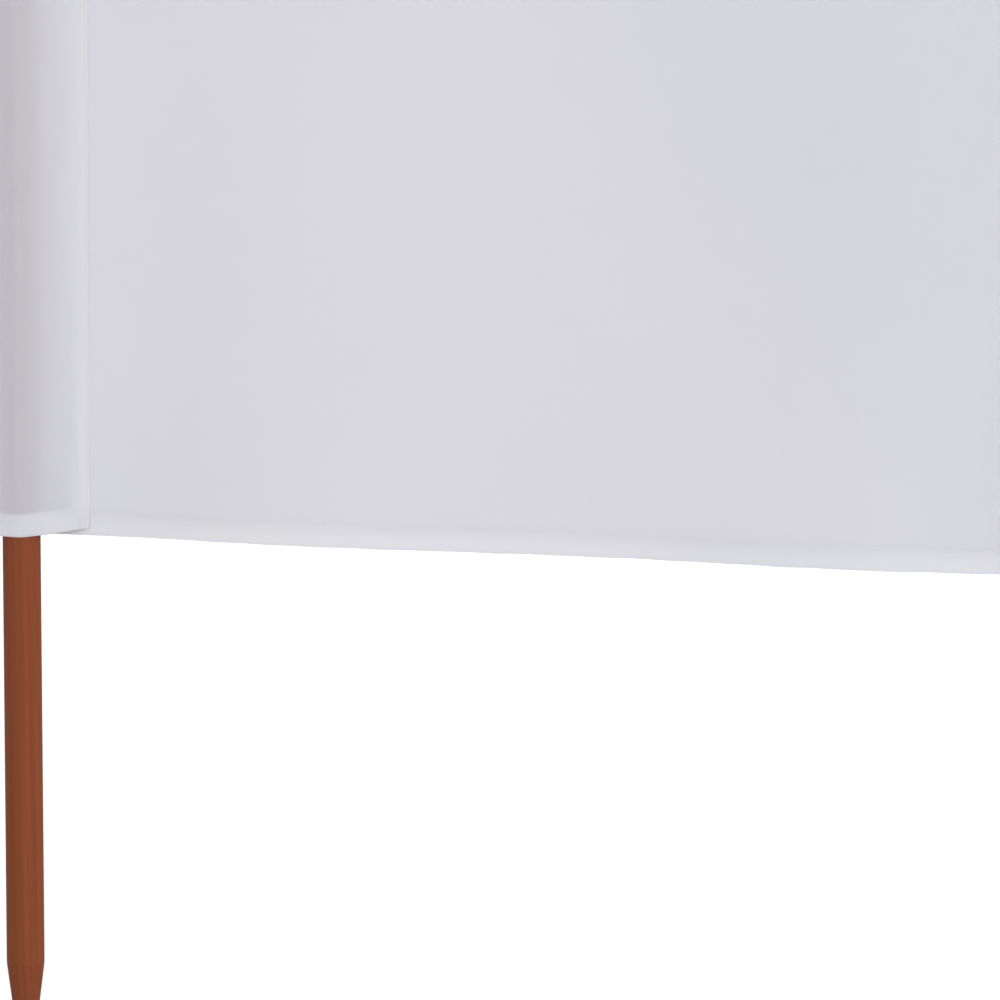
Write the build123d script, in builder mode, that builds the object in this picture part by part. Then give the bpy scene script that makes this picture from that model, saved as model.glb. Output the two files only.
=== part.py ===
from build123d import *
from math import atan2, cos, degrees, radians, sin, tan
import os

# A beach windbreak: one long sheet of cloth that zigzags between round wooden posts.
# Each post stands in a pocket, a strip of cloth sewn to the sheet's front face.
# The sheet's two long edges are hemmed, and the posts' sharpened ends go into the sand.

# Run of the windbreak
bays = 6
bay_width = 1333.0  # along the cloth, from one post's axis to the next
fold_angle = 22.0  # each bay's lean off the straight run

# Posts
post_diameter = 28.0
post_length = 1200.0
point_length = 80.0  # sharpened end
point_flat = 7.0  # diameter of the blunt end
shoulder_radius = 60.0  # where the point meets the round of the post
top_chamfer = 2.0
post_proud = 5.0  # post's top above the cloth's top edge

# Cloth
cloth_height = 800.0
cloth_thickness = 1.2
hem_height = 16.0
hem_layers = 2  # the sheet and its edge folded to the back
post_clearance = 0.3  # cloth to post

# Pockets
pocket_reach = 48.0  # post's axis to the strip's outer edge, along the bay
seam_width = 7.0  # turned edge of the strip, sewn down on the sheet
lift_radius = 10.0  # where the strip leaves the sheet
outer_fold_radius = 25.0  # sheet's bend at a post that stands on the outside of the fold

# Ripples of a hanging bay, from the post nearer the middle of the run to the one further out
ripple_margin = 62.0  # post's axis to where the ripples begin and end
ripples = (  # share of the way along, bulge to the front
    (0.13, 13.0),
    (0.32, 0.0),
    (0.47, 12.0),
    (0.57, -1.0),
    (0.76, 9.0),
)

# Worked out from the sizes above
posts = bays + 1
middle_post = bays // 2
post_radius = post_diameter / 2
sheet_front = post_radius + post_clearance
cloth_bottom = post_length - post_proud - cloth_height
hem_thickness = cloth_thickness * hem_layers
fold_pitch = bay_width * cos(radians(fold_angle))
fold_depth = bay_width * sin(radians(fold_angle))


def stands_inside(post):
    """True for a post on the far side of the zigzag, as the middle one is."""
    return (post - middle_post) % 2 == 0


def is_end(post):
    return post in (0, posts - 1)


def post_place(post):
    """Plan position of a post's axis: the middle post stands at the origin."""
    return (post - middle_post) * fold_pitch, 0.0 if stands_inside(post) else -fold_depth


def post_plane(post):
    x, y = post_place(post)
    return Plane(origin=(x, y, 0), x_dir=(1, 0, 0), z_dir=(0, 0, 1))


def bay_lean(bay):
    """Angle of a bay in plan: it comes forward from a post inside the fold."""
    return -fold_angle if stands_inside(bay) else fold_angle


def bay_ripples(bay):
    """Crests and troughs of one bay from left to right, the left half of the run mirrored."""
    if bay >= middle_post:
        return ripples
    return tuple((1 - share, bulge) for share, bulge in reversed(ripples))


def bay_plane(bay):
    """Plan of one bay: x runs along the cloth from its left post, y points to the back."""
    x, y = post_place(bay)
    lean = radians(bay_lean(bay))
    return Plane(origin=(x, y, 0), x_dir=(cos(lean), sin(lean), 0), z_dir=(0, 0, 1))


def finish(piece, name):
    piece.part.label = name
    export_step(piece.part, f"parts/{name}.step")


def build_post(post):
    """A turned post: a long blunt point, an eased shoulder and a chamfered top."""
    x, y = post_place(post)
    with BuildPart() as turned:
        with BuildSketch(Plane(origin=(x, y, 0), x_dir=(1, 0, 0), z_dir=(0, -1, 0))):
            with BuildLine():
                Polyline(
                    (0, 0),
                    (point_flat / 2, 0),
                    (post_radius, point_length),
                    (post_radius, post_length),
                    (0, post_length),
                    close=True,
                )
            make_face()
        revolve(axis=Axis((x, y, 0), (0, 0, 1)))
        rings = turned.edges().filter_by(GeomType.CIRCLE).group_by(Axis.Z)
        chamfer(rings[-1], top_chamfer)
        fillet(rings[1], shoulder_radius)
    finish(turned, f"post_{post + 1}")


def bend(post, depth):
    """Half of the sheet's bend at a post, for a bay that leaves it to the right.

    Gives the bend's centre, radius, first angle and turn, from the bay to the middle of the bend.
    Inside the fold the sheet lies round the back of the post; outside it turns away behind it.
    """
    if stands_inside(post):
        return 0, 0, sheet_front + depth, 90, fold_angle
    back = sheet_front + outer_fold_radius
    return back * tan(radians(fold_angle)), back, outer_fold_radius - depth, -90, -fold_angle


def draw_ripples(bay, level):
    """Level line that swings forward and back, each swing two equal arcs that join smoothly."""
    free_width = bay_width - 2 * ripple_margin
    start = Vector(ripple_margin, level)
    for share, bulge in (*bay_ripples(bay), (1, 0)):
        end = Vector(ripple_margin + share * free_width, level - bulge)
        swing = TangentArc(start, (start + end) / 2, tangent=(1, 0))
        TangentArc((start + end) / 2, end, tangent=swing % 1)
        start = end


def draw_sheet(bay, depth):
    """Line of one bay's sheet at a depth behind its front face, and that line's two ends.

    It runs from the middle of the left bend, straight past the pocket, over the ripples and
    straight again to the middle of the right bend. An end bay stops square behind its post.
    """
    level = sheet_front + depth
    line_start, line_end = 0, bay_width
    if not is_end(bay):
        x, y, radius, first, turn = bend(bay, depth)
        line_start = x
        left_bend = CenterArc((x, y), radius, first + turn, -turn)
    if not is_end(bay + 1):
        x, y, radius, first, turn = bend(bay + 1, depth)
        line_end = bay_width - x
        right_bend = CenterArc((line_end, y), radius, 180 - first, -turn)
    Line((line_start, level), (ripple_margin, level))
    draw_ripples(bay, level)
    Line((bay_width - ripple_margin, level), (line_end, level))
    left_end = (0, level) if is_end(bay) else left_bend @ 0
    right_end = (bay_width, level) if is_end(bay + 1) else right_bend @ 1
    return left_end, right_end


def build_band(bay, name, bottom, height, thickness):
    """A level stretch of one bay's sheet, its thickness laid to the back."""
    with BuildPart() as band:
        with BuildSketch(bay_plane(bay).offset(bottom)):
            with BuildLine():
                front_ends = draw_sheet(bay, 0)
                back_ends = draw_sheet(bay, thickness)
                for front_end, back_end in zip(front_ends, back_ends):
                    Line(front_end, back_end)
            make_face()
        extrude(amount=height)
    finish(band, f"{name}_{bay + 1}")


def build_bay(bay):
    """One bay: the single sheet, with a folded hem along its bottom and its top."""
    panel_height = cloth_height - 2 * hem_height
    build_band(bay, "bottom_hem", cloth_bottom, hem_height, hem_thickness)
    build_band(bay, "panel", cloth_bottom + hem_height, panel_height, cloth_thickness)
    top_hem = cloth_bottom + cloth_height - hem_height
    build_band(bay, "top_hem", top_hem, hem_height, hem_thickness)


def beside_post(lean, along):
    """Point on the front of a bay that leaves a post to the right, this far along the bay."""
    turned = radians(lean)
    return (
        along * cos(turned) - sheet_front * sin(turned),
        along * sin(turned) + sheet_front * cos(turned),
    )


def build_pocket(post):
    """The pocket strip: sewn flat to the sheet at its edges, and drawn round the post between.

    The strip leaves the sheet at the seam's inner edge, on a line that just touches the round
    of the post. The angle of that touch is measured from the bay's own line.
    An end pocket has one seam, and its other side is the sheet's end brought round the post.
    """
    seam_inside = pocket_reach - seam_width
    lean = fold_angle if not stands_inside(post) else -fold_angle
    touch = lean + 2 * degrees(atan2(sheet_front, seam_inside)) - 90
    behind = lean + 90
    edge = beside_post(lean, pocket_reach)
    lift = beside_post(lean, seam_inside)
    first = behind if post == 0 else 180 - touch
    last = 540 - behind if post == bays else 360 + touch
    with BuildPart() as strip:
        with BuildSketch(post_plane(post).offset(cloth_bottom)):
            with BuildLine():
                wrap = CenterArc((0, 0), sheet_front, first, last - first)
                if post > 0:
                    FilletPolyline((-edge[0], edge[1]), (-lift[0], lift[1]), wrap @ 0, radius=lift_radius)
                if post < bays:
                    FilletPolyline(wrap @ 1, lift, edge, radius=lift_radius)
                offset(amount=cloth_thickness, side=Side.RIGHT)
            make_face()
        extrude(amount=cloth_height)
    finish(strip, f"pocket_{post + 1}")


os.makedirs("parts", exist_ok=True)
for number in range(posts):
    build_post(number)
    build_pocket(number)
for number in range(bays):
    build_bay(number)
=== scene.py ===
import math
import bpy
import numpy as np
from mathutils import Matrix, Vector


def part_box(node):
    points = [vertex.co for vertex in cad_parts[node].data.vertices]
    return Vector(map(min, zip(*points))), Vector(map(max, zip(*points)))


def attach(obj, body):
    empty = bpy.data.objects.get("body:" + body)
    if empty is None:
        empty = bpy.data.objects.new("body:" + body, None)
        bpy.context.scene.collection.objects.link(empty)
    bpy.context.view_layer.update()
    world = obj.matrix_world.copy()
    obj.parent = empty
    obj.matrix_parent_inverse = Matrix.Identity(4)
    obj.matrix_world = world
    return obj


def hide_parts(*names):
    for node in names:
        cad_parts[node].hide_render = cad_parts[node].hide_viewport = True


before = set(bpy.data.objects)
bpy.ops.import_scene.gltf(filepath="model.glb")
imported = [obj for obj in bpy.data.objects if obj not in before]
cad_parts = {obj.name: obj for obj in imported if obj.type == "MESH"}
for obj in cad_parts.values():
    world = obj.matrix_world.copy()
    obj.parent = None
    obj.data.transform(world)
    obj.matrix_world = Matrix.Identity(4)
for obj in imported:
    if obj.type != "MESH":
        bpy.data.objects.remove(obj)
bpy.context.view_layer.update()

# Sizes that the pieces share, in metres. The CAD part gives the first three, to a tenth of a
# millimetre, and the next five repeat its own values.
run = {
    "bays": sum(name.startswith("panel_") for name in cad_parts),
    "clothBottom": round(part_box("bottom_hem_1")[0][2], 4),
    "clothTop": round(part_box("top_hem_1")[1][2], 4),
    "bayWidth": 1.333,  # along the cloth, from one post's axis to the next
    "foldAngle": math.radians(22),  # each bay's lean off the straight run
    "outerFold": 0.025,  # sheet's bend at a post on the outside of the fold
    "sheetFront": 0.0143,  # post's axis to the sheet's front face
    "hemHeight": 0.016,
    "cloth": 0.0003,  # one layer of cloth
    "layerStep": 0.00034,  # one folded layer to the next
    "sag": 0.006,  # dip of the top edge half way along a bay
    "hold": 0.00006,  # narrow cells at a cut edge, which keep its shading to itself
    "tuckedHold": 0.0003,  # the same at an edge that is turned in
}
middlePost = run["bays"] // 2
clothHeight = run["clothTop"] - run["clothBottom"]
foldTurn = np.linspace(math.pi, 0, 8)[1:-1]  # points round a folded edge, from the inner layer to the outer
rng = np.random.default_rng(17)


def standsInside(post):
    # the zigzag's far side, where the middle post stands
    return (post - middlePost) % 2 == 0


def isEnd(post):
    return post in (0, run["bays"])


def postPlace(post):
    # plan position of a post's axis
    pitch = run["bayWidth"] * math.cos(run["foldAngle"])
    depth = run["bayWidth"] * math.sin(run["foldAngle"])
    return np.array([(post - middlePost) * pitch, 0.0 if standsInside(post) else -depth])


def ease(share):
    # 3s^2 - 2s^3 between 0 and 1, level at both ends
    s = np.clip(share, 0, 1)
    return s * s * (3 - 2 * s)


def running(steps):
    # distance covered before each step, and after the last
    return np.concatenate([[0], np.cumsum(steps)])


def upShare(height):
    # 0 at the cloth's bottom, 1 at its top
    return (height - run["clothBottom"]) / clothHeight


def gridFaces(rows, columns):
    # quads of a grid whose points are numbered along each row
    first = (np.arange(rows - 1)[:, None] * columns + np.arange(columns - 1)).ravel()
    return np.stack([first, first + 1, first + columns + 1, first + columns], axis=1)


def makePiece(name, points, faceSets, material, uv=None, attributes=None):
    # A mesh object at the origin, its place in its points. Within a face set all faces have the same
    # number of sides. UVs and attributes are given point by point.
    mesh = bpy.data.meshes.new(name)
    corners = np.concatenate([faces.ravel() for faces in faceSets])
    sides = np.concatenate([np.full(len(faces), faces.shape[1]) for faces in faceSets])
    mesh.vertices.add(points.size // 3)
    mesh.vertices.foreach_set("co", points.astype(np.float32).ravel())
    mesh.loops.add(len(corners))
    mesh.loops.foreach_set("vertex_index", corners.astype(np.int32))
    mesh.polygons.add(len(sides))
    mesh.polygons.foreach_set("loop_start", (np.cumsum(sides) - sides).astype(np.int32))
    mesh.polygons.foreach_set("use_smooth", np.ones(len(sides), bool))
    mesh.update(calc_edges=True)
    if uv is not None:
        layer = mesh.uv_layers.new(name="cloth")
        layer.uv.foreach_set("vector", uv.reshape(-1, 2)[corners].astype(np.float32).ravel())
    for key, values in (attributes or {}).items():
        kind, field = ("FLOAT", "value") if values.ndim == 1 else ("FLOAT_VECTOR", "vector")
        attribute = mesh.attributes.new(key, kind, "POINT")
        attribute.data.foreach_set(field, values.astype(np.float32).ravel())
    mesh.validate()
    mesh.materials.append(material)
    piece = bpy.data.objects.new(name, mesh)
    bpy.context.scene.collection.objects.link(piece)
    return piece


def thicken(piece):
    # gives a cloth surface its thickness, half to each side
    wall = piece.modifiers.new("thickness", "SOLIDIFY")
    wall.thickness = run["cloth"]
    wall.offset = 0
    wall.use_even_offset = True
    wall.use_rim = True


class Signal:
    # One output socket of a material. Arithmetic on signals adds Math nodes to the material.
    def __init__(self, tree, socket=None):
        self.tree = tree
        self.socket = socket

    def add(self, kind, settings=None, sockets=None, output=0):
        # A node: its settings first, then the values or links of its sockets. A colour is three numbers.
        node = self.tree.nodes.new(kind)
        for key, value in (settings or {}).items():
            setattr(node, key, value)
        for key, value in (sockets or {}).items():
            socket = node.inputs[key]
            if isinstance(value, Signal):
                self.tree.links.new(value.socket, socket)
            else:
                socket.default_value = (*value, 1) if socket.type == "RGBA" else value
        return Signal(self.tree, node.outputs[output]) if node.outputs else None

    def maths(self, operation, first, second=0.0):
        return self.add("ShaderNodeMath", {"operation": operation}, {0: first, 1: second})

    def __add__(self, other):
        return self.maths("ADD", self, other)

    def __sub__(self, other):
        return self.maths("SUBTRACT", self, other)

    def __rsub__(self, other):
        return self.maths("SUBTRACT", other, self)

    def __mul__(self, other):
        return self.maths("MULTIPLY", self, other)

    def __truediv__(self, other):
        return self.maths("DIVIDE", self, other)

    __radd__ = __add__
    __rmul__ = __mul__


def newMaterial(name):
    material = bpy.data.materials.new(name)
    material.use_nodes = True
    material.node_tree.nodes.clear()
    return material, Signal(material.node_tree)


def mixColours(tree, factor, first, second, blend="MIX"):
    settings = {"data_type": "RGBA", "blend_type": blend}
    return tree.add("ShaderNodeMix", settings, {0: factor, 6: first, 7: second}, 2)


def component(tree, vector, axis):
    return tree.add("ShaderNodeSeparateXYZ", {}, {0: vector}, axis)


def noise(tree, place, scale, detail, dimensions="2D", stretch=(1, 1, 1), shift=(0, 0, 0), rough=0.5):
    # noise over a place that is first stretched and shifted
    drawn = tree.add("ShaderNodeMapping", {}, {0: place, "Location": shift, "Scale": stretch})
    sockets = {"Vector": drawn, "Scale": scale, "Detail": detail, "Roughness": rough}
    return tree.add("ShaderNodeTexNoise", {"noise_dimensions": dimensions}, sockets)


clothLook = {
    "threadPitch": 0.00062,  # metres from one thread to the next
    "bright": (0.969, 0.961, 0.985),
    "deep": (0.919, 0.911, 0.940),  # between the threads, and in thin places
    "weaveShade": 0.34,  # how far each of these goes from bright to deep
    "slubShade": 0.3,
    "cloudShade": 0.25,
    "brightest": 0.2,  # how much of their sum stays bright
    "slubs": ((35, 900, 1), (900, 28, 1)),  # thick places in the threads of each way
    "cloudScale": 9.0,
    "cool": (0.930, 0.955, 1.0),  # broad faint patches
    "patchScale": 1.9,
    "patchGain": 2.2,  # how sharply they begin
    "patchStart": 0.75,
    "patchPlace": (-9.8, -6.1, 0),  # which part of their noise shows
    "through": (0.950, 0.947, 0.980),  # light that comes through
    "throughShare": 0.61,
    "weaveDepth": 0.00006,
    "weaveBump": 0.6,
    "slubRise": 0.7,
    "roughness": 0.85,
    "specular": 0.15,
    "sheen": 0.05,
}
# The strip's cloth is the sheet's cloth, here with a bluer reflection and a warmer, larger share of light
# through: painted shade, which makes the cloth over each post darker and bluer.
pocketLook = {
    **clothLook,
    "bright": (0.878, 0.933, 1.0),
    "deep": (0.834, 0.886, 0.955),
    "through": (0.986, 0.947, 0.945),
    "throughShare": 0.65,
    "patchPlace": (0.1, 1.7, 0),
    "sewnAndLitShare": 0.50,  # where layers are sewn together, and where painted light lifts the shade near them
    "sewnAndLitColour": (0.942, 0.960, 0.992),
}
# The hems' cloth is the sheet's cloth made lighter: their layers give part of their brightness, and the
# rest is painted light.
hemLook = {
    **clothLook,
    "bright": (0.985, 0.978, 0.992),
    "deep": (0.945, 0.938, 0.955),
    "through": (0.975, 0.970, 0.985),
    "throughShare": 0.54,
    "patchPlace": (0.1, 1.7, 0),
}


def clothMaterial(name, look):
    # Plain weave: over and under swap with the sign of sin(x) sin(y), each thread rounded as |sin|.
    # Noise drawn out along each way's threads thickens them, and two wider noises cloud the cloth.
    material, tree = newMaterial(name)
    place = tree.add("ShaderNodeUVMap", {"uv_map": "cloth"})
    turn = math.pi / look["threadPitch"]
    warp = tree.maths("SINE", component(tree, place, 0) * turn)
    weft = tree.maths("SINE", component(tree, place, 1) * turn)
    over = tree.maths("GREATER_THAN", warp * weft, 0.0)
    weave = tree.maths("ABSOLUTE", warp) * over + tree.maths("ABSOLUTE", weft) * (1 - over)
    slubs = [noise(tree, place, 1.0, 2.0, stretch=stretch) for stretch in look["slubs"]]
    slub = slubs[0] + slubs[1]
    cloud = noise(tree, place, look["cloudScale"], 3.0)
    broad = noise(tree, place, look["patchScale"], 1.0, shift=look["patchPlace"])
    thin = look["weaveShade"] * (1 - weave) + look["slubShade"] * slub + look["cloudShade"] * cloud
    colour = mixColours(tree, thin - look["brightest"], look["bright"], look["deep"])
    patch = look["patchGain"] * broad - look["patchStart"]
    colour = mixColours(tree, patch, colour, look["cool"], "MULTIPLY")
    share = look["throughShare"]
    # The seam attribute takes share and colour towards the sewn layers' look: their own on the turned edge
    # and hems, and painted light that lifts the shade in the hollow where the strip lies near the sheet.
    if "sewnAndLitShare" in look:
        seam = tree.add("ShaderNodeAttribute", {"attribute_name": "seam"}, {}, "Fac")
        share = share + (look["sewnAndLitShare"] - share) * seam
        colour = mixColours(tree, seam, colour, look["sewnAndLitColour"])
    relief = {"Strength": look["weaveBump"], "Distance": look["weaveDepth"]}
    bump = tree.add("ShaderNodeBump", {}, {**relief, "Height": weave + look["slubRise"] * slub})
    finish = {
        "Base Color": colour,
        "Roughness": look["roughness"],
        "Specular IOR Level": look["specular"],
        "Sheen Weight": look["sheen"],
        "Normal": bump,
    }
    surface = tree.add("ShaderNodeBsdfPrincipled", {}, finish)
    through = tree.add("ShaderNodeBsdfTranslucent", {}, {"Color": look["through"]})
    mixed = tree.add("ShaderNodeMixShader", {}, {0: share, 1: surface, 2: through})
    tree.add("ShaderNodeOutputMaterial", {}, {"Surface": mixed})
    return material


woodLook = {
    "light": (0.262, 0.068, 0.0245),
    "dark": (0.138, 0.037, 0.0155),
    "pith": (-0.021, 0.034, 0),  # centre of the growth rings, beside the post
    "inner": 0.026,  # the post's nearest and farthest side from the pith
    "outer": 0.054,
    "ringPitch": 0.0026,
    "ringDrift": 0.012,  # how much of the height counts in a ring's distance from the pith
    "waver": (22, 22, 1.6),  # noise that bends the rings: fineness across and along the post
    "waverRings": 1.7,  # by how many rings
    "fibres": (1500, 1500, 22),
    "streaks": (190, 190, 2.5),
    "ringShade": 0.16,  # how far each of these goes from light to dark
    "fibreShade": 0.42,
    "streakShade": 0.66,
    "heartAndPaintedShade": 0.42,  # darker towards the pith: a heartwood tone, which on the middle post is turned left as painted shade
    "lightest": 0.11,  # how much of their sum stays light
    "endRings": 0.55,  # how much more the rings show where the wood is cut across
    "endDark": 0.22,  # and how much darker it takes the stain
    "roughness": 0.55,
    "fibreRough": 0.18,
    "lateSmooth": 0.06,  # the rings' hard late wood
    "lateRise": 0.6,
    "bump": 0.5,
    "bumpDepth": 0.00012,
    "specular": 0.1,
}


def woodMaterial(name, look):
    # Growth rings: distance from the pith over the ring pitch, wavered along the post, and the cube of
    # its fraction is the dark late wood. Fibres and streaks are noise drawn out along the post.
    material, tree = newMaterial(name)
    place = tree.add("ShaderNodeAttribute", {"attribute_name": "grain"}, {}, "Vector")
    cut = tree.add("ShaderNodeAttribute", {"attribute_name": "cut"}, {}, "Fac")
    offPith = tree.add("ShaderNodeVectorMath", {"operation": "SUBTRACT"}, {0: place, 1: look["pith"]})

    def fromPith(drift):
        # length of (x, y, drift z), measured from the pith
        flat = tree.add("ShaderNodeVectorMath", {"operation": "MULTIPLY"}, {0: offPith, 1: (1, 1, drift)})
        return tree.add("ShaderNodeVectorMath", {"operation": "LENGTH"}, {0: flat}, "Value")

    waver = noise(tree, place, 1.0, 2.0, "3D", look["waver"])
    fibre = noise(tree, place, 1.0, 4.0, "3D", look["fibres"], rough=0.65)
    streak = noise(tree, place, 1.0, 3.0, "3D", look["streaks"])
    rings = fromPith(look["ringDrift"]) / look["ringPitch"] + look["waverRings"] * waver
    ring = tree.maths("FRACT", rings)
    lateWood = ring * ring * ring
    # Darker towards the pith: heartwood tone on most posts, and painted shade on the middle post's left
    # side, where it is turned
    heartAndShadeSide = (look["outer"] - fromPith(0)) / (look["outer"] - look["inner"])
    shade = (look["ringShade"] + look["endRings"] * cut) * lateWood + look["endDark"] * cut
    shade = shade + look["fibreShade"] * fibre + look["streakShade"] * streak
    shade = shade + look["heartAndPaintedShade"] * (heartAndShadeSide - 0.5) - look["lightest"]
    relief = {"Strength": look["bump"], "Distance": look["bumpDepth"]}
    finish = {
        "Base Color": mixColours(tree, shade, look["light"], look["dark"]),
        "Roughness": look["roughness"] + look["fibreRough"] * fibre - look["lateSmooth"] * lateWood,
        "Specular IOR Level": look["specular"],
        "Normal": tree.add("ShaderNodeBump", {}, {**relief, "Height": fibre + look["lateRise"] * lateWood}),
    }
    surface = tree.add("ShaderNodeBsdfPrincipled", {}, finish)
    tree.add("ShaderNodeOutputMaterial", {}, {"Surface": surface})
    return material


threadLook = {
    "colour": (0.90, 0.895, 0.92),
    "twistShade": 0.88,  # its dark side beside the colour
    "twistScale": 2600.0,
    "roughness": 0.6,
}


def threadMaterial(name, look):
    # Twisted thread: fine noise between the colour and a darker one
    material, tree = newMaterial(name)
    place = tree.add("ShaderNodeTexCoord", {}, {}, "Object")
    twist = noise(tree, place, look["twistScale"], 1.0, "3D")
    dark = [look["twistShade"] * part for part in look["colour"]]
    finish = {"Base Color": mixColours(tree, twist, look["colour"], dark), "Roughness": look["roughness"]}
    surface = tree.add("ShaderNodeBsdfPrincipled", {}, finish)
    tree.add("ShaderNodeOutputMaterial", {}, {"Surface": surface})
    return material


sheetCloth = clothMaterial("sheetCloth", clothLook)
pocketCloth = clothMaterial("pocketCloth", pocketLook)
hemCloth = clothMaterial("hemCloth", hemLook)
postWood = woodMaterial("postWood", woodLook)
sewingThread = threadMaterial("sewingThread", threadLook)
print("materials made")

# How the cloth of a bay ripples between its posts
ripple = {
    "margin": 0.062,  # post's axis to where the ripples begin and end
    "shares": (0.13, 0.32, 0.47, 0.57, 0.76),  # of the way along, from the post nearer the middle
    "bulges": (0.013, 0.0, 0.012, -0.001, 0.009),  # to the front
    "jitter": 0.012,  # how far a share may differ in another bay
    "swell": (0.8, 1.05),  # and a bulge, as a part of the one above
    "middleFade": 0.3,  # how much less they stand out half way up
    "topFade": 0.1,  # and at the top
    "slant": 0.02,  # how far a fold may lean from the bottom to the top
    "softWave": 0.0008,
    "softLengths": (0.41, 0.29, 0.63),  # each soft wave's length along the bay
    "softHeights": (1.3, -1.7, 0.9),  # and up it
    "softBottom": 0.12,  # share of the height over which they grow from nothing
    "softFullness": 0.7,  # the less, the nearer to the posts they reach
}


def rippleOf(bay):
    # one bay's folds: where they stand, how far out, their lean and the phases of its soft waves
    shares, bulges = np.array(ripple["shares"]), np.array(ripple["bulges"])
    slant = rng.uniform(-1, 1)
    phases = rng.uniform(0, 2 * math.pi, 3)
    jitter = rng.uniform(-ripple["jitter"], ripple["jitter"], len(shares))
    swell = rng.uniform(*ripple["swell"], len(shares))
    if bay != middlePost:
        shares, bulges = shares + jitter, bulges * swell
    if bay < middlePost:
        shares, bulges = 1 - shares[::-1], bulges[::-1]
    shares, bulges = np.array([0, *shares, 1]), np.array([0, *bulges, 0])
    stands = shares * (run["bayWidth"] - 2 * ripple["margin"]) + ripple["margin"]
    return {"stands": stands, "bulges": bulges, "slant": slant, "phases": phases}


bayRipples = [rippleOf(bay) for bay in range(run["bays"])]


def bulge(bay, station, height):
    # How far the cloth stands forward: cosine steps from fold to fold along the bay, that lean a little
    # with the height and fade half way up, plus three long slanting waves that vanish at the posts and
    # the bottom.
    form = bayRipples[bay]
    up = np.clip(upShare(height), 0, 1)
    across = np.clip(station / run["bayWidth"], 0, 1)
    along = station + ripple["slant"] * form["slant"] * up * np.sin(math.pi * across)
    index = np.clip(np.searchsorted(form["stands"], along) - 1, 0, len(form["stands"]) - 2)
    low, high = form["stands"][index], form["stands"][index + 1]
    share = 0.5 - 0.5 * np.cos(math.pi * np.clip((along - low) / (high - low), 0, 1))
    step = form["bulges"][index] * (1 - share) + form["bulges"][index + 1] * share
    step = step * (1 - ripple["middleFade"] * np.sin(math.pi * up) - ripple["topFade"] * up)
    inset = np.clip((station - ripple["margin"]) / (run["bayWidth"] - 2 * ripple["margin"]), 0, 1)
    window = np.sin(math.pi * inset) ** ripple["softFullness"] * ease(up / ripple["softBottom"])
    waves = sum(
        np.sin(2 * math.pi * (station / length + height / rise) + phase)
        for length, rise, phase in zip(ripple["softLengths"], ripple["softHeights"], form["phases"])
    )
    return step + ripple["softWave"] * window * waves


def bendOf(post):
    # where the straight part of a bay starts beside a post, and the radius of the bend's front face
    if standsInside(post):
        return 0.0, run["sheetFront"]
    return (run["sheetFront"] + run["outerFold"]) * math.tan(run["foldAngle"]), run["outerFold"]


def besidePost(post, distance, depth):
    # Plan of the sheet from a post outwards: first an arc round the bend's centre, then a straight line.
    # The arc's centre is the post's axis inside the fold, and a point behind the sheet outside it.
    start, radius = bendOf(post)
    side = 1 if standsInside(post) else -1
    centre = 0.0 if standsInside(post) else run["sheetFront"] + run["outerFold"]
    angle = np.clip(start - distance, 0, None) / radius
    turnRadius = radius + side * depth
    x = np.maximum(distance, start) - turnRadius * np.sin(angle)
    return x, centre + side * turnRadius * np.cos(angle)


def sheetPoints(bay, station, height, depth):
    # Points of a bay's cloth: station along the bay, height, depth behind the sheet's front face. The
    # bulge moves them forward, and the sag, 4s(1 - s) along the bay and growing with the height, down.
    station, height, depth = np.broadcast_arrays(station, height, depth)
    leftX, leftY = besidePost(bay, station, depth)
    rightX, rightY = besidePost(bay + 1, run["bayWidth"] - station, depth)
    left = station < run["bayWidth"] / 2
    x = np.where(left, leftX, run["bayWidth"] - rightX)
    y = np.where(left, leftY, rightY) - bulge(bay, station, height)
    origin, end = postPlace(bay), postPlace(bay + 1)
    alongX, alongY = (end - origin) / run["bayWidth"]
    inset = np.clip(station / run["bayWidth"], 0, 1)
    sag = run["sag"] * 4 * inset * (1 - inset) * upShare(height)
    plan = origin[0] + alongX * x - alongY * y, origin[1] + alongY * x + alongX * y
    return np.stack([*plan, height - sag], axis=-1)


panelDetail = {"alongCells": 170, "upCells": 44, "bendCells": 6, "bendReach": 0.022}


def stationsOf(bay, count):
    # stations from the middle of the left bend to the middle of the right one, close together at both ends
    ends = []
    for post in (bay, bay + 1):
        start, radius = bendOf(post)
        first = 0.0 if isEnd(post) else start - run["foldAngle"] * radius
        bend = np.linspace(first, start, panelDetail["bendCells"] + 1)[1:]
        ends.append(np.array([first, first + run["hold"], *bend]))
    reach = panelDetail["bendReach"]
    main = np.linspace(reach, run["bayWidth"] - reach, count)
    return np.unique(np.concatenate([ends[0], main, run["bayWidth"] - ends[1]]))


def buildPanel(bay):
    # the sheet between its two hems, on a grid of stations and heights
    low, high = run["clothBottom"] + run["hemHeight"], run["clothTop"] - run["hemHeight"]
    inner = np.linspace(low, high, panelDetail["upCells"])[1:-1]
    heights = np.concatenate([[low, low + run["hold"]], inner, [high - run["hold"], high]])
    station, height = np.meshgrid(stationsOf(bay, panelDetail["alongCells"]), heights)
    points = sheetPoints(bay, station, height, run["cloth"] / 2)
    uv = np.stack([station + bay * run["bayWidth"], height], axis=-1)
    piece = makePiece(f"panel_cloth_{bay + 1}", points, [gridFaces(*station.shape)], sheetCloth, uv)
    thicken(piece)
    return piece


hemDetail = {
    "alongCells": 150,
    "rows": (0.0025, 0.0055, 0.009, 0.0125),  # heights of cells on the two outer layers
    "tuckedRow": 0.0115,  # and on the one between them
    "overlap": 0.0004,  # the hem's back layers above its front
    "stitchLine": 0.0145,
    "tuck": 0.0065,  # its raw edge, turned in
    "edgeWave": 0.00025,
    "waveLengths": (0.071, 0.043),
    "wavePhase": 1.3,  # from one bay to the next
    "waveMargin": 0.05,  # post's axis to where the waves begin and end
    "waveFullness": 0.3,
}


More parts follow.
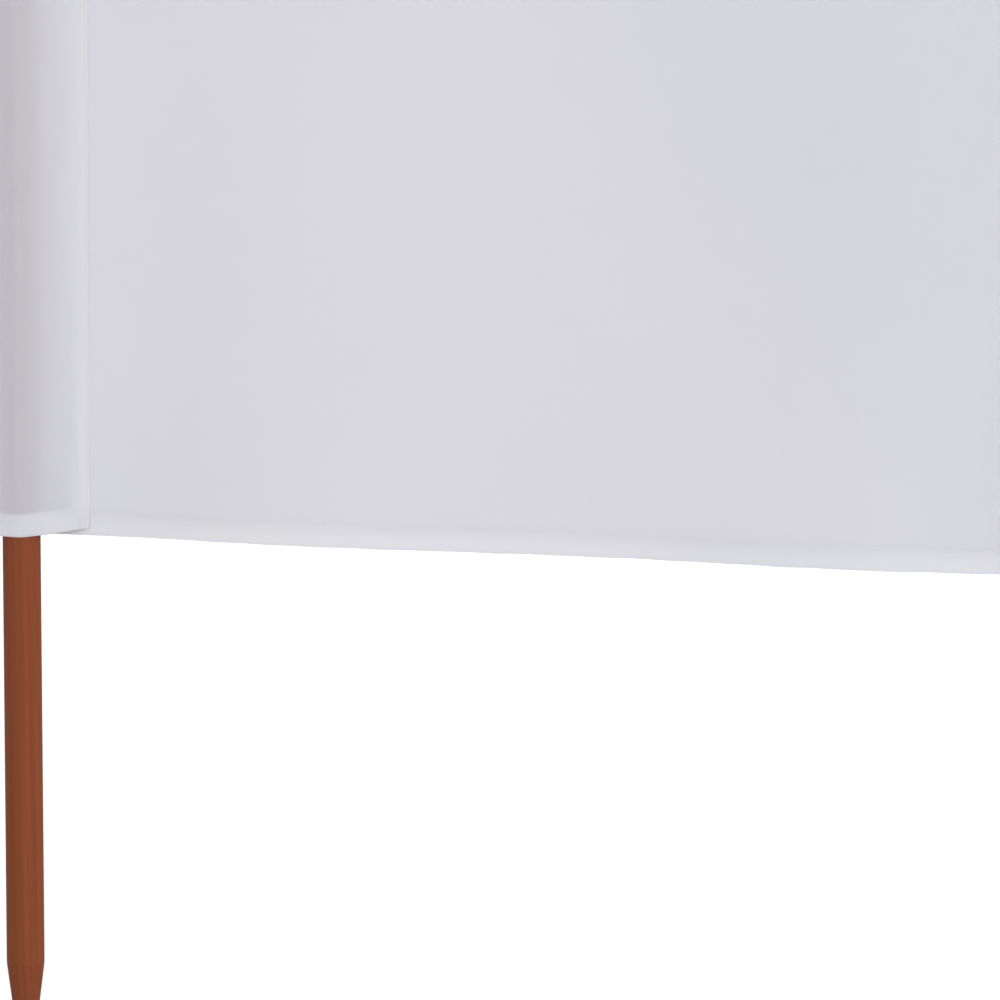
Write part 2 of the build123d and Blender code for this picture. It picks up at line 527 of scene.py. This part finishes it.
def hemProfile():
    # The folded edge in section, as depth behind the front face and height above the fold:
    # down the front, round the fold, up the back, round the turned edge and down between the layers.
    form, rows = hemDetail, hemDetail["rows"]
    half, step = run["cloth"] / 2, run["layerStep"]
    front, between, back = half, half + step, half + 2 * step
    fold = half + step
    top = run["hemHeight"] + form["overlap"] - step / 2 - half
    rawEdge = top - form["tuck"]
    layers = (
        (front, [run["hemHeight"], run["hemHeight"] - run["hold"], *rows[::-1], fold]),
        (back, [fold, *rows, run["hemHeight"] - run["tuckedHold"], top]),
        (between, [top, form["stitchLine"], form["tuckedRow"], rawEdge + run["tuckedHold"], rawEdge]),
    )
    down, up, inside = ([(depth, height) for height in heights] for depth, heights in layers)
    sines, cosines = np.sin(foldTurn[::-1]), np.cos(foldTurn[::-1])
    foldArc = np.stack([between - step * cosines, fold - step * sines], axis=1)
    tuckArc = np.stack([back - step / 2 * (1 - cosines), top + step / 2 * sines], axis=1)
    return np.concatenate([down, foldArc, up, tuckArc, inside])


def buildHem(bay, atTop):
    # The profile carried along the bay. Two sines along the bay make its fold wavy, less towards the
    # hem's other side and towards the posts.
    form, profile = hemDetail, hemProfile()
    station, depth = np.meshgrid(stationsOf(bay, form["alongCells"]), profile[:, 0])
    rise = np.broadcast_to(profile[:, 1:], station.shape)
    inset = (station - form["waveMargin"]) / (run["bayWidth"] - 2 * form["waveMargin"])
    window = np.sin(math.pi * np.clip(inset, 0, 1)) ** form["waveFullness"]
    phase = bay * form["wavePhase"] + atTop
    longWave, shortWave = (station * 2 * math.pi / length for length in form["waveLengths"])
    wave = np.sin(longWave + phase) + np.sin(shortWave + 2 * phase)
    fade = 1 - np.clip(rise / run["hemHeight"], 0, 1)
    rise = rise + form["edgeWave"] * fade * window * (1 + 0.5 * wave)
    height = run["clothTop"] - rise if atTop else run["clothBottom"] + rise
    length = running(np.hypot(*np.diff(profile, axis=0).T))[:, None]
    uv = np.stack([station + bay * run["bayWidth"], np.broadcast_to(length, station.shape)], axis=-1)
    faces = gridFaces(*station.shape)
    name = f"{'top' if atTop else 'bottom'}_hem_cloth_{bay + 1}"
    points = sheetPoints(bay, station, height, depth)
    piece = makePiece(name, points, [faces if atTop else faces[:, ::-1]], hemCloth, uv)
    thicken(piece)
    return piece


# The strips that hold the posts, sewn to the sheet's front
pocketForm = {
    "reach": 0.048,  # post's axis to the strip's outer edge, along the bay
    "lift": 0.041,  # to where the strip leaves the sheet
    "liftRadius": 0.010,
    "wrapRadius": 0.0146,  # middle of the outer layer, round the post
    "sheetGap": 0.00005,  # the strip's inner layer to the sheet
    "turnedEdge": 0.0095,
    "edgeColumns": (0.0065, 0.0038, 0.0014),  # cells on it, from the strip's edge
    "hemRows": (0.012, 0.008, 0.004, 0.0012),
    "aboveHem": (0.0015, 0.0035),
    "acrossCells": 43,
    "endAcrossCells": 45,  # the same across an end post's strip
    "upCells": 39,
    "pathStep": 0.0001,
    "foldSpread": (0.0004, 0.0001),  # least step of the UVs across and up, so that a fold has some cloth
    "uvShift": 0.2,  # of the UVs, from one pocket to the next
    "seamAt": 0.0021,  # the stitches, from the strip's edge
    "hemLine": 0.0142,  # and from its bottom and top
    "seamBow": 0.0019,  # how far a seam bows out half way up the cloth
    "bowReach": 0.02,
    "hemFade": 0.003,  # above the hem, where its extra layers stop pushing the strip out
    "seamFade": 0.007,  # beside the turned edge, likewise
    "behind": 0.045,  # last stretch of an end post's strip, behind the post
    "wobble": 0.0005,  # soft waves of the free cloth between seam and post
    "wobbleAt": 0.019,
    "wobbleWidth": 0.008,
    "wobbleLength": 0.23,
    "wobblePhase": 2.1,  # from one post to the next
    "edgeRise": 0.005,  # the strip's lower edge at its seam, above the sheet's
    "leftRise": 0.55,  # part of it at the middle post's left seam
    "otherRise": (0.6, 0.35, 1.7),  # at the other posts' seams, how much that varies and how fast
    "riseReach": 0.046,  # from the post's axis to where the rise is whole
    "riseMost": 1.1,
    "riseCurve": 1.3,
    "edgeDrop": 0.0004,
}


def stripPath(post):
    # Plan of the strip's outer layer from its right edge, x to the right and y to the front. Its heading
    # turns by a fixed amount along each run: flat on the sheet, a small arc off it, straight to the post,
    # round the post, straight, a small arc and flat again. An end post's strip goes round to behind it.
    # The path is as long as a seam that bows out needs, and distance counts from a seam that doesn't.
    form = pocketForm
    lean = run["foldAngle"] if standsInside(post) else -run["foldAngle"]
    level = run["sheetFront"] - form["sheetGap"] - run["cloth"] / 2 - run["layerStep"]
    reachToLift = math.hypot(form["lift"], level)
    turn = math.asin(form["wrapRadius"] / reachToLift) + math.atan2(level, form["lift"])
    cut = form["liftRadius"] * math.tan(turn / 2)
    edge = form["reach"] + form["seamBow"]
    straight = math.sqrt(reachToLift**2 - form["wrapRadius"] ** 2) - cut
    offSheet = [(edge - form["lift"] - cut, 0.0), (form["liftRadius"] * turn, -turn), (straight, 0.0)]
    wrap = math.pi + turn if isEnd(post) else 2 * (turn - lean)
    runs = [*offSheet, (form["wrapRadius"] * wrap, wrap), *([] if isEnd(post) else offSheet[::-1])]
    heading, steps, headings = math.pi + lean, [], []
    for length, change in runs:
        count = max(2, int(length / form["pathStep"]))
        steps.append(np.full(count, length / count))
        headings.append(heading + change * (np.arange(count) + 0.5) / count)
        heading += change
    steps, headings = np.concatenate(steps), np.concatenate(headings)
    sine, cosine = math.sin(lean), math.cos(lean)
    start = np.array([edge * cosine + level * sine, edge * sine - level * cosine])
    moves = np.stack([np.cos(headings), np.sin(headings)], axis=1) * steps[:, None]
    plan = np.concatenate([[start], start + np.cumsum(moves, axis=0)])
    distance = running(steps) - form["seamBow"]
    headingAt = np.interp(distance, distance[:-1] + steps / 2, headings)
    total = distance[-1] - (0 if isEnd(post) else form["seamBow"])
    return {"distance": distance, "plan": plan, "heading": headingAt, "total": total}


def bowAt(height):
    # a half sine wave from the bottom of the cloth to its top
    return pocketForm["seamBow"] * np.sin(math.pi * np.clip(upShare(height), 0, 1))


def hemShare(height, fade):
    # 1 on a hem, easing to 0 beyond it over the distance of the fade
    fromEdge = np.minimum(height - run["clothBottom"], run["clothTop"] - height)
    return ease((run["hemHeight"] + fade - fromEdge) / fade)


def riseAt(post, x, height):
    # the strip's lower edge rises with the distance from the post, to a power, and less further up
    form = pocketForm
    if post == middlePost:
        side = np.where(x > 0, 1.0, form["leftRise"])
    else:
        usual, spread, pace = form["otherRise"]
        side = usual + spread * np.sin(post * pace + (x > 0))
    away = np.clip(np.abs(x) / form["riseReach"], 0, form["riseMost"]) ** form["riseCurve"]
    return (form["edgeRise"] * side * away - form["edgeDrop"]) * (1 - upShare(height))


def pocketPoints(post, along, height, inward, path):
    # Points of a pocket strip: distance from its right edge, height, depth inside its outer layer. The
    # path's place there is pushed along its normal: out where the hem's extra layers lie in a seam, back
    # behind an end post to meet the sheet's end, and in soft waves beside the post.
    form, total = pocketForm, path["total"]
    toSeam = along if isEnd(post) else np.minimum(along, total - along)
    bow = bowAt(height) * ease((form["bowReach"] - toSeam) / form["bowReach"])
    placed = along + np.where(along < total / 2, -bow, bow)
    x, y = (np.interp(placed, path["distance"], path["plan"][:, axis]) for axis in (0, 1))
    heading = np.interp(placed, path["distance"], path["heading"])
    thicker = 2 * run["layerStep"] * hemShare(height, form["hemFade"])
    push = thicker * ease((form["turnedEdge"] + form["seamFade"] - toSeam) / form["seamFade"]) - inward
    if isEnd(post):
        sheetBack = run["sheetFront"] + run["cloth"] / 2 + thicker
        behind = ease((along - total + form["behind"]) / form["behind"])
        push = push + behind * (sheetBack - form["wrapRadius"])
    free = np.exp(-(((toSeam - form["wobbleAt"]) / form["wobbleWidth"]) ** 2))
    phase = 2 * math.pi * height / form["wobbleLength"] + post * form["wobblePhase"]
    push = push + form["wobble"] * free * np.sin(phase)
    x, y = x + push * np.sin(heading), y - push * np.cos(heading)
    height = height + riseAt(post, x, height)
    if post == run["bays"]:
        x = -x
    place = postPlace(post)
    return np.stack([place[0] + x, place[1] - y, height], axis=-1)


def flatPart(places, angle=0.0):
    # cells on a flat layer: distance from the edge, the fold's turn, 0 for off the fold and 0 for this edge
    return np.array([(place, angle, 0, 0) for place in places])


def turnedEdge(width, cells):
    # cells over an edge that is turned under: the layer below, the fold and the layer on top
    under = flatPart([width, width - run["tuckedHold"], *cells], math.pi)
    fold = np.array([(0.0, angle, 1, 0) for angle in foldTurn])
    return np.concatenate([under, fold, flatPart([*cells[::-1], width])])


def farEdge(near):
    # the same cells in reverse, marked 1 as counted from the other edge
    return near[::-1] + (0, 0, 0, 1)


def acrossStrip(total, oneSeam):
    # cells from the right edge, turned under, to the left one, or to an end post's plain end
    form = pocketForm
    edge = turnedEdge(form["turnedEdge"], form["edgeColumns"])
    if oneSeam:
        middle = np.linspace(form["turnedEdge"], total, form["endAcrossCells"] + 1)[1:-1]
        return np.concatenate([edge, flatPart([*middle, total - run["tuckedHold"], total])])
    middle = np.linspace(form["turnedEdge"], total - form["turnedEdge"], form["acrossCells"] + 1)[1:-1]
    return np.concatenate([edge, flatPart(middle), farEdge(edge)])


def upStrip():
    # cells from the bottom hem, turned under, to the top one
    form, hem = pocketForm, run["hemHeight"]
    above = [hem + step for step in form["aboveHem"]]
    edge = np.concatenate([turnedEdge(hem, form["hemRows"]), flatPart(above)])
    middle = np.linspace(above[-1], clothHeight - above[-1], form["upCells"] + 1)[1:-1]
    return np.concatenate([edge, flatPart(middle), farEdge(edge)])


# How much a place takes the sewn layers' look: their own on the turned edge and the hems, and painted light
# that lifts the shade where the strip lies near the sheet and in the crevice at its edge. A seam's three
# steps give reach from the edge, fade and share.
sewnAndLitLook = {
    "seams": ((0.040, 0.008, 0.10), (0.017, 0.008, 0.19), (0.0080, 0.003, 0.71)),
    "hemFade": 0.002,
    "hem": 0.42,
}


def buildPocket(post):
    # A grid over the strip with its edges turned under. A point on a fold follows a half circle as deep as
    # the layers that the fold goes round, and elsewhere a point lies under as many layers as cover it.
    form, path, step = pocketForm, stripPath(post), run["layerStep"]
    total = path["total"]
    place, angle, folded, top = upStrip().T[:, :, None]
    hemFold = (1 - np.cos(angle)) / 2
    fromEdge = np.where(folded > 0, step / 2 * (1 - np.sin(angle)), place)
    height = np.where(top > 0, run["clothTop"] - fromEdge, run["clothBottom"] + fromEdge)
    nested = 1 + 2 * hemShare(height, form["hemFade"]) - 2 * hemFold
    place, angle, folded, far = acrossStrip(total, isEnd(post)).T[:, None, :]
    sideFold = (1 - np.cos(angle)) / 2
    along = np.where(folded > 0, step / 2 * nested * (1 - np.sin(angle)), place)
    along = np.where(far > 0, total - along, along)
    height = np.broadcast_to(height, along.shape)
    points = pocketPoints(post, along, height, step * (hemFold + sideFold * nested), path)
    fromRight = np.where(far > 0, total - place, place)[0]
    across = running(np.hypot(np.diff(fromRight), form["foldSpread"][0])) + form["uvShift"] * post
    up = running(np.hypot(np.diff(height[:, 0]), form["foldSpread"][1]))
    uv = np.stack(np.meshgrid(across, up), axis=-1)
    toSeam = along if isEnd(post) else np.minimum(along, total - along)
    # painted light near each seam, over and beyond the turned edge's own layers
    seam = sum(share * ease((limit - toSeam) / fade) for limit, fade, share in sewnAndLitLook["seams"])
    seam = np.maximum(seam, sewnAndLitLook["hem"] * hemShare(height, sewnAndLitLook["hemFade"]))
    faces = gridFaces(*along.shape)
    faces = faces if post == run["bays"] else faces[:, ::-1]
    piece = makePiece(f"pocket_cloth_{post + 1}", points, [faces], pocketCloth, uv, {"seam": seam.ravel()})
    thicken(piece)
    return piece, path


stitchForm = {
    "pitch": 0.0035,
    "length": 0.0029,
    "radius": 0.00016,
    "sink": 0.00007,  # how deep a stitch's ends go into the cloth
    "rise": 0.00006,  # and how far its middle stands off it
    "endSize": 0.7,  # thickness of its ends, as a part of its middle's
    "probe": 0.001,  # step out of the cloth that gives its way out
    "frontMargin": 0.05,  # post's axis to the first and last stitch of a hem
    "backMargin": 0.02,  # the same on the back
    "seamMargin": 0.002,  # strip's bottom and top to those of a seam
    "stripMargin": 0.004,  # strip's edges to those of its hems
    "behindMargin": 0.0175,  # sheet's bottom and top to those of a seam, on the back
}


def stitchRows(name, rows, material):
    # Each stitch is a thin three-sided thread along three points of the cloth: its ends are sunk in the
    # cloth and its middle lies on it. A row gives the three points of every stitch and the way out.
    form, vertices, faces = stitchForm, [], []
    corners = [side * 2 * math.pi / 3 for side in range(3)]
    for starts, middles, ends, outward in rows:
        tangent = ends - starts
        tangent /= np.linalg.norm(tangent, axis=1, keepdims=True)
        sideways = np.cross(tangent, outward)
        around = [math.cos(corner) * outward + math.sin(corner) * sideways for corner in corners]
        around = form["radius"] * np.stack(around, axis=1)
        places = (
            (starts, -form["sink"], form["endSize"]),
            (middles, form["rise"], 1.0),
            (ends, -form["sink"], form["endSize"]),
        )
        rings = [(centre + height * outward)[:, None] + size * around for centre, height, size in places]
        vertices.append(np.stack(rings, axis=1).reshape(-1, 3))
    points = np.concatenate(vertices)
    first = np.arange(0, len(points), 9)[:, None]
    for ring in (0, 3):
        for side in range(3):
            a, b = first + ring + side, first + ring + (side + 1) % 3
            faces += [np.hstack([a, b, b + 3]), np.hstack([a, b + 3, a + 3])]
    faces += [np.hstack([first, first + 2, first + 1]), np.hstack([first + 6, first + 7, first + 8])]
    return makePiece(name, points, faces, material)


def stitchesOn(surface, start, end):
    # the three points of each stitch between two distances, and the way out of the cloth there
    count = int((end - start) / stitchForm["pitch"])
    begin = start + np.arange(count) * stitchForm["pitch"]
    length = stitchForm["length"]
    points = [surface(begin + share * length, 0.0) for share in (0, 0.5, 1)]
    out = surface(begin + 0.5 * length, stitchForm["probe"]) - points[1]
    return (*points, out / np.linalg.norm(out, axis=1, keepdims=True))


def buildHemStitches(bay):
    # a line along each hem, on the front and on the back
    line, back = hemDetail["stitchLine"], run["cloth"] + 2 * run["layerStep"]
    rows = []
    for height in (run["clothBottom"] + line, run["clothTop"] - line):
        for depth, outward, margin in ((0.0, -1, "frontMargin"), (back, 1, "backMargin")):
            side = lambda station, out: sheetPoints(bay, station, height, depth + outward * out)
            rows.append(stitchesOn(side, stitchForm[margin], run["bayWidth"] - stitchForm[margin]))
    return stitchRows(f"hem_stitches_{bay + 1}", rows, sewingThread)


def buildPocketStitches(post, path):
    # a line up each seam and along both hems of the strip, and up the sheet's back behind each seam
    form, margins = pocketForm, stitchForm
    total, seamAt = path["total"], form["seamAt"]
    bottom, top = run["clothBottom"], run["clothTop"]

    def strip(along, height, out):
        return pocketPoints(post, along, height, -run["cloth"] / 2 - out, path)

    rows = []
    for along in [seamAt] if isEnd(post) else [seamAt, total - seamAt]:
        seam = lambda height, out: strip(along, height, out)
        rows.append(stitchesOn(seam, bottom + margins["seamMargin"], top - margins["seamMargin"]))
    for height in (bottom + form["hemLine"], top - form["hemLine"]):
        hem = lambda along, out: strip(along, height, out)
        rows.append(stitchesOn(hem, margins["stripMargin"], total - margins["stripMargin"]))
    for bay, origin, side in ((post, 0, 1), (post - 1, run["bayWidth"], -1)):
        if 0 <= bay < run["bays"]:
            station = lambda height: origin + side * (form["reach"] - seamAt + bowAt(height))
            behind = lambda height, out: sheetPoints(bay, station(height), height, run["cloth"] + out)
            rows.append(stitchesOn(behind, bottom + margins["behindMargin"], top - margins["behindMargin"]))
    return stitchRows(f"pocket_stitches_{post + 1}", rows, sewingThread)


postForm = {
    "radius": 0.014,
    "length": round(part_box("post_1")[1][2], 4),
    "point": 0.08,
    "tip": 0.0035,
    "tipRings": ((0.0009, 0.0), (0.0021, 0.0), (0.0031, 0.0001)),  # radius and height, on the blunt end
    "coneStart": 0.0008,
    "coneCells": 21,
    "shoulder": 0.060,  # radius of the eased edge between point and shank
    "shoulderCells": 8,
    "shankCells": 69,
    "shankEnd": 0.003,  # below the post's top
    "chamfer": 0.002,
    "chamferEase": 0.0002,
    "topRings": (0.55, 0.2),  # cells on the top, as parts of the radius
    "columns": 56,
    "wander": 0.00012,  # out of round
    "wanderWaves": ((2, 2.3, 1.0), (3, -5.1, 0.6)),  # waves round the post, turn along it and size
    "grain": 0.00003,
    "grainWaves": ((11, 9, 1.0), (17, -14, 1.0)),
    "coneCut": 0.3,  # how far the sharpened end is cut across the grain
    "middleShadeTurn": 302,  # degrees that turn the middle post's darker heartwood side to the left, as painted shade on that side
    "treeShift": 1.7,  # along the tree, from one post's wood to the next
}


def postOutline():
    # radius and height up the post: blunt tip, straight cone, an arc into the shank, chamfered top
    form = postForm
    radius, length, chamfer, small = form["radius"], form["length"], form["chamfer"], form["chamferEase"]
    slope = math.atan2(radius - form["tip"], form["point"])
    cut = form["shoulder"] * math.tan(slope / 2)
    angles = np.linspace(slope, 0, form["shoulderCells"] + 1)
    arcHeight = form["point"] + cut - form["shoulder"] * np.sin(angles)
    arcRadius = radius - form["shoulder"] * (1 - np.cos(angles))
    coneHeight = np.linspace(form["coneStart"], arcHeight[0], form["coneCells"] + 1)[:-1]
    coneRadius = arcRadius[0] - (arcHeight[0] - coneHeight) * math.tan(slope)
    shankHeight = np.linspace(arcHeight[-1], length - form["shankEnd"], form["shankCells"] + 1)[1:]
    top = [
        (radius, length - chamfer - small),
        (radius - small, length - chamfer + small),
        (radius - chamfer + small, length - small),
        (radius - chamfer - small, length),
        *((part * radius, length) for part in form["topRings"]),
    ]
    cone = np.stack([coneRadius, coneHeight], axis=1)
    arc = np.stack([arcRadius, arcHeight], axis=1)
    shank = np.stack([np.full(len(shankHeight), radius), shankHeight], axis=1)
    return np.concatenate([form["tipRings"], cone, arc, shank, top]).T


def waveSum(waves, angles, heights, phases):
    # sum of size sin(around angle + along height + phase)
    return sum(
        size * np.sin(around * angles + along * heights + phase)
        for (around, along, size), phase in zip(waves, phases)
    )


def buildPost(post):
    # A surface of revolution whose radius shrinks in waves round and along it, wide ones that put it out
    # of round and fine ones of the grain. It carries its place in the tree, for the rings and fibres.
    form = postForm
    radius, height = postOutline()
    phases = rng.uniform(0, 2 * math.pi, 6)[:4]
    angle = np.arange(form["columns"]) * 2 * math.pi / form["columns"]
    angles, heights = np.meshgrid(angle, height)
    wander = form["wander"] * (1 + 0.5 * waveSum(form["wanderWaves"], angles, heights, phases[:2]))
    grain = form["grain"] * (1 + 0.5 * waveSum(form["grainWaves"], angles, heights, phases[2:]))
    share = np.clip(radius / form["radius"], 0, 1)[:, None] ** 2
    radii = radius[:, None] - share * (wander + grain)
    rings = np.stack([radii * np.cos(angles), radii * np.sin(angles), heights], axis=-1).reshape(-1, 3)
    local = np.concatenate([rings, [(0, 0, 0), (0, 0, form["length"])]])
    here = np.arange(len(rings)).reshape(heights.shape)
    after = np.roll(here, -1, axis=1)
    sides = np.stack([here[:-1], after[:-1], after[1:], here[1:]], axis=-1).reshape(-1, 4)
    base = np.stack([np.full(len(angle), len(rings)), after[0], here[0]], axis=1)
    crown = np.stack([np.full(len(angle), len(rings) + 1), here[-1], after[-1]], axis=1)
    # the middle post's turn puts the heartwood's darker side to the left: painted shade
    turned = rng.uniform(0, 2 * math.pi) if post != middlePost else math.radians(form["middleShadeTurn"])
    x, y, z = local.T
    inTree = np.stack([
        x * math.cos(turned) - y * math.sin(turned),
        x * math.sin(turned) + y * math.cos(turned),
        z + form["treeShift"] * post,
    ], axis=1)
    cut = np.where(height < form["point"], form["coneCut"], 0.0)
    cut[(height > form["length"] - 0.0001) | (height < 0.0002)] = 1.0  # the two flat ends
    cut = np.concatenate([np.repeat(cut, form["columns"]), [1.0, 1.0]])
    points = local + (*postPlace(post), 0)
    marks = {"grain": inTree, "cut": cut}
    return makePiece(f"post_wood_{post + 1}", points, [sides, base, crown], postWood, attributes=marks)


def dress(piece, slot, *nodes):
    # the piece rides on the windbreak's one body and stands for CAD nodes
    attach(piece, "root")
    if nodes:
        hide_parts(*nodes)


for post in range(run["bays"] + 1):
    dress(buildPost(post), "post_wood", f"post_{post + 1}")
print("posts turned")

for post in range(run["bays"] + 1):
    pocket, path = buildPocket(post)
    stitches = buildPocketStitches(post, path)
    dress(pocket, "pocket_cloth", f"pocket_{post + 1}")
    dress(stitches, "pocket_cloth")
    seams = 1 if isEnd(post) else 2
    flatWidth = path["total"] + seams * (pocketForm["turnedEdge"] + pocketForm["seamBow"])
    clothHeight + 2 * run["hemHeight"]
print("pockets sewn")

for bay in range(run["bays"]):
    panel = buildPanel(bay)
    hems = [buildHem(bay, atTop) for atTop in (False, True)]
    stitches = buildHemStitches(bay)
    dress(panel, "sheet_cloth", f"panel_{bay + 1}")
    dress(hems[0], "hem_cloth", f"bottom_hem_{bay + 1}")
    dress(hems[1], "hem_cloth", f"top_hem_{bay + 1}")
    dress(stitches, "hem_cloth")
    clothHeight - 2 * run["hemHeight"]
print("bays hung")

# Plain pale studio, brighter in front of the windbreak than behind it
light = {
    "front": (1.395, 1.395, 1.395),  # sky in front of the windbreak
    "back": (0.14, 0.14, 0.14),
    "turn": 1.6,  # how sharply the one gives way to the other at the sides
    "lamp": 0.80,
    "lampWidth": 50,  # degrees across, which softens its shadows
    "lampSide": 52,  # degrees to the right of straight ahead
    "lampHeight": 12,
    "shown": (1.0, 1.0, 1.0),  # the background that is seen
    "floor": (0.8, 0.8, 0.8),
    "floorGlow": 0.485,  # brings the floor that is seen up to the background's white
    "floorHalf": 30.0,
}


def shownMask(tree):
    # rays that see the plain white background: from the camera, off gloss and through glass, and not
    # the scattered light that comes through cloth
    kinds = ("Is Camera Ray", "Is Glossy Ray", "Is Transmission Ray", "Is Diffuse Ray")
    camera, gloss, glass, cloth = (tree.add("ShaderNodeLightPath", {}, {}, kind) for kind in kinds)
    seen = tree.maths("MAXIMUM", tree.maths("MAXIMUM", camera, gloss), glass)
    return seen * (1 - cloth)


world = bpy.data.worlds.new("studio")
bpy.context.scene.world = world
world.use_nodes = True
world.node_tree.nodes.clear()
tree = Signal(world.node_tree)
way = tree.add("ShaderNodeTexCoord", {}, {}, "Generated")
toFront = 0.5 - 0.5 * light["turn"] * component(tree, way, 1)
level = mixColours(tree, toFront, light["back"], light["front"])
lit = tree.add("ShaderNodeBackground", {}, {"Color": level})
shown = tree.add("ShaderNodeBackground", {}, {"Color": light["shown"]})
sky = tree.add("ShaderNodeMixShader", {}, {0: shownMask(tree), 1: lit, 2: shown})
tree.add("ShaderNodeOutputWorld", {}, {"Surface": sky})

lamp = bpy.data.objects.new("softLamp", bpy.data.lights.new("softLamp", "SUN"))
lamp.data.energy = light["lamp"]
lamp.data.angle = math.radians(light["lampWidth"])
lamp.rotation_euler = (math.radians(90 - light["lampHeight"]), 0, math.radians(light["lampSide"]))
bpy.context.scene.collection.objects.link(lamp)

floorMaterial, tree = newMaterial("paleFloor")
diffuse = tree.add("ShaderNodeBsdfDiffuse", {}, {"Color": light["floor"]})
strength = shownMask(tree) * light["floorGlow"]
glow = tree.add("ShaderNodeEmission", {}, {"Color": light["shown"], "Strength": strength})
both = tree.add("ShaderNodeAddShader", {}, {0: diffuse, 1: glow})
tree.add("ShaderNodeOutputMaterial", {}, {"Surface": both})
floorPoints = light["floorHalf"] * np.array([(-1, -1, 0), (1, -1, 0), (1, 1, 0), (-1, 1, 0)])
floor = makePiece("floor", floorPoints, [np.array([[0, 1, 2, 3]])], floorMaterial)

# The photograph's view
view = {
    "place": (0.3480, -3.4937, 0.7602),
    "down": 5.556,  # degrees below level
    "sensor": 36,
    "lens": 173.855,
    "nearest": 0.05,
    "farthest": 200,
}
camera = bpy.data.objects.new("camera", bpy.data.cameras.new("camera"))
camera.location = view["place"]
camera.rotation_euler = (math.radians(90 - view["down"]), 0, 0)
camera.data.sensor_width = view["sensor"]
camera.data.lens = view["lens"]
camera.data.clip_start = view["nearest"]
camera.data.clip_end = view["farthest"]
bpy.context.scene.collection.objects.link(camera)
bpy.context.scene.camera = camera
bpy.context.scene.view_settings.view_transform = "Standard"
print("light and camera set")
